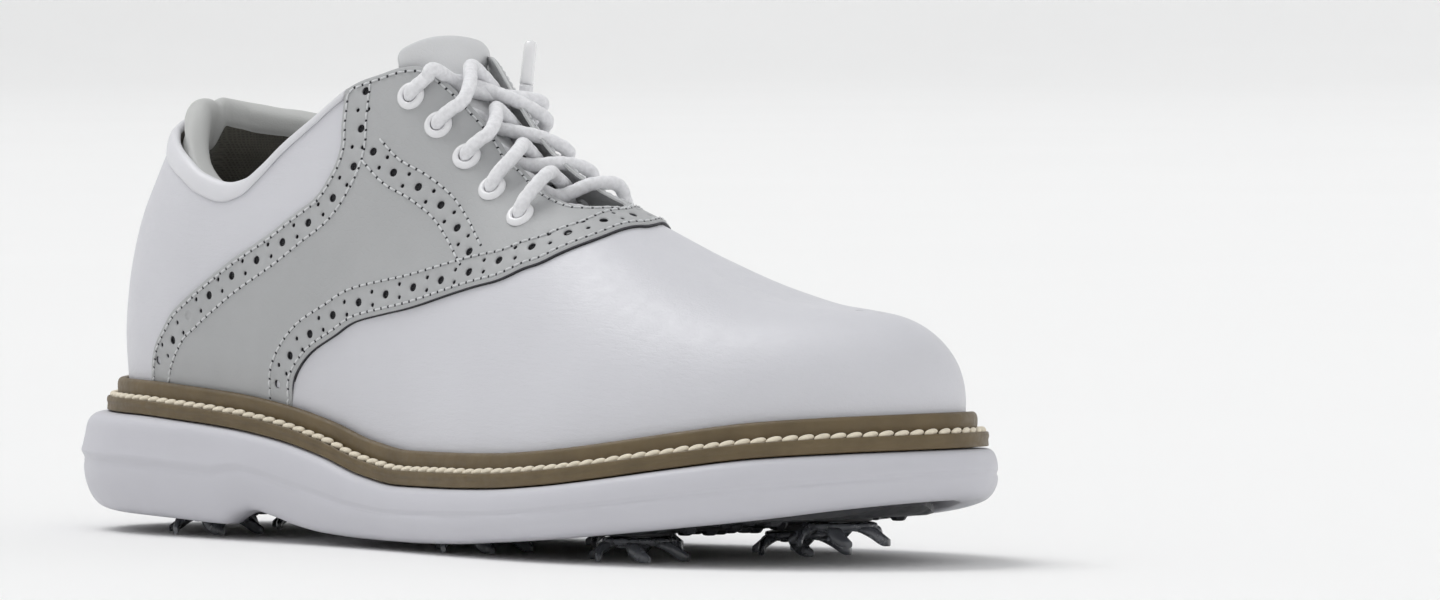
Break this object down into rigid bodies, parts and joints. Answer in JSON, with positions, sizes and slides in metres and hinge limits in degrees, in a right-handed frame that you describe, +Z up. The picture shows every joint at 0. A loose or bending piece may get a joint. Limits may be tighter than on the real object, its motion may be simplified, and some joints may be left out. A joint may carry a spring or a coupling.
{
  "type": "golf shoe",
  "caption": "Right-foot lace-up golf shoe with a leather saddle upper, stitched storm welt, foamed midsole and twist-in soft cleats.",
  "frame": {"origin": "on the ground under the middle of the shoe's bounding box, where the lowest cleat tips stand", "axes": "+X towards the toe, +Y towards the medial side (the left of a right shoe), +Z up"},
  "size_m": [0.3048, 0.1056, 0.1337],
  "materials": {
    "leather_white": "smooth",
    "leather_grey": "smooth",
    "tab_grey": "matt",
    "collar_textile": "matt",
    "binding_white": "satin",
    "lining_textile": "matt",
    "stiffener": "matt",
    "tongue_leather": "smooth",
    "board": "matt",
    "sockliner_textile": "matt",
    "shank_steel": "brushed",
    "welt_tan": "satin",
    "welt_thread": "matt",
    "midsole_foam": "satin",
    "outsole_plate": "satin",
    "receptacle_plastic": "satin",
    "cleat_plastic": "gloss",
    "eyelet_white": "satin",
    "lace_white": "matt",
    "aglet_white": "gloss"
  },
  "bodies": {
    "shoe": {"vamp": "leather_white", "saddle": "leather_grey", "quarter": "leather_white", "heel_tab": "tab_grey", "collar_padding": "collar_textile", "collar_binding": "binding_white", "lining": "lining_textile", "heel_counter": "stiffener", "toe_puff": "stiffener", "insole_board": "board", "footbed_filler": "board", "shank": "shank_steel", "welt": "welt_tan", "welt_stitching": "welt_thread", "midsole": "midsole_foam", "outsole_forefoot": "outsole_plate", "outsole_heel": "outsole_plate", "receptacle_heel_lateral": "receptacle_plastic", "receptacle_heel_medial": "receptacle_plastic", "receptacle_ball_rear_lateral": "receptacle_plastic", "receptacle_ball_rear_medial": "receptacle_plastic", "receptacle_ball_front_lateral": "receptacle_plastic", "receptacle_ball_front_medial": "receptacle_plastic", "receptacle_toe": "receptacle_plastic", "eyelet_lateral_1": "eyelet_white", "eyelet_lateral_2": "eyelet_white", "eyelet_lateral_3": "eyelet_white", "eyelet_lateral_4": "eyelet_white", "eyelet_lateral_5": "eyelet_white", "eyelet_medial_1": "eyelet_white", "eyelet_medial_2": "eyelet_white", "eyelet_medial_3": "eyelet_white", "eyelet_medial_4": "eyelet_white", "eyelet_medial_5": "eyelet_white", "lace": "lace_white", "aglet_lateral": "aglet_white", "aglet_medial": "aglet_white"},
    "tongue": {"tongue": "tongue_leather"},
    "sockliner": {"sockliner": "sockliner_textile"},
    "cleat_heel_lateral": {"cleat_heel_lateral": "cleat_plastic"},
    "cleat_heel_medial": {"cleat_heel_medial": "cleat_plastic"},
    "cleat_ball_rear_lateral": {"cleat_ball_rear_lateral": "cleat_plastic"},
    "cleat_ball_rear_medial": {"cleat_ball_rear_medial": "cleat_plastic"},
    "cleat_ball_front_lateral": {"cleat_ball_front_lateral": "cleat_plastic"},
    "cleat_ball_front_medial": {"cleat_ball_front_medial": "cleat_plastic"},
    "cleat_toe": {"cleat_toe": "cleat_plastic"}
  },
  "joints": [
    {"name": "tongue_hinge", "type": "hinge", "parent": "shoe", "child": "tongue", "pos_m": [0.0462, -0.0016, 0.074], "axis": [0, 1, 0], "range_deg": [-8, 0], "stiffness_Nm_per_rad": 0.06, "springref_deg": 6.88},
    {"name": "sockliner_lift", "type": "hinge", "parent": "shoe", "child": "sockliner", "pos_m": [0.1386, 0.0117, 0.0354], "axis": [0, 1, 0], "range_deg": [0, 5]},
    {"name": "cleat_heel_lateral_twist", "type": "hinge", "parent": "shoe", "child": "cleat_heel_lateral", "pos_m": [-0.0988, -0.0178, 0.0063], "axis": [0, 0, 1], "range_deg": [-60, 0]},
    {"name": "cleat_heel_medial_twist", "type": "hinge", "parent": "shoe", "child": "cleat_heel_medial", "pos_m": [-0.0968, 0.0172, 0.0063], "axis": [0, 0, 1], "range_deg": [-60, 0]},
    {"name": "cleat_ball_rear_lateral_twist", "type": "hinge", "parent": "shoe", "child": "cleat_ball_rear_lateral", "pos_m": [0.0142, -0.0248, 0.0063], "axis": [0, 0, 1], "range_deg": [-60, 0]},
    {"name": "cleat_ball_rear_medial_twist", "type": "hinge", "parent": "shoe", "child": "cleat_ball_rear_medial", "pos_m": [0.0262, 0.0172, 0.0063], "axis": [0, 0, 1], "range_deg": [-60, 0]},
    {"name": "cleat_ball_front_lateral_twist", "type": "hinge", "parent": "shoe", "child": "cleat_ball_front_lateral", "pos_m": [0.0722, -0.0248, 0.0063], "axis": [0, 0, 1], "range_deg": [-60, 0]},
    {"name": "cleat_ball_front_medial_twist", "type": "hinge", "parent": "shoe", "child": "cleat_ball_front_medial", "pos_m": [0.0802, 0.0252, 0.0063], "axis": [0, 0, 1], "range_deg": [-60, 0]},
    {"name": "cleat_toe_twist", "type": "hinge", "parent": "shoe", "child": "cleat_toe", "pos_m": [0.1122, 0.0072, 0.0105], "axis": [0, 0, 1], "range_deg": [-60, 0]}
  ]
}
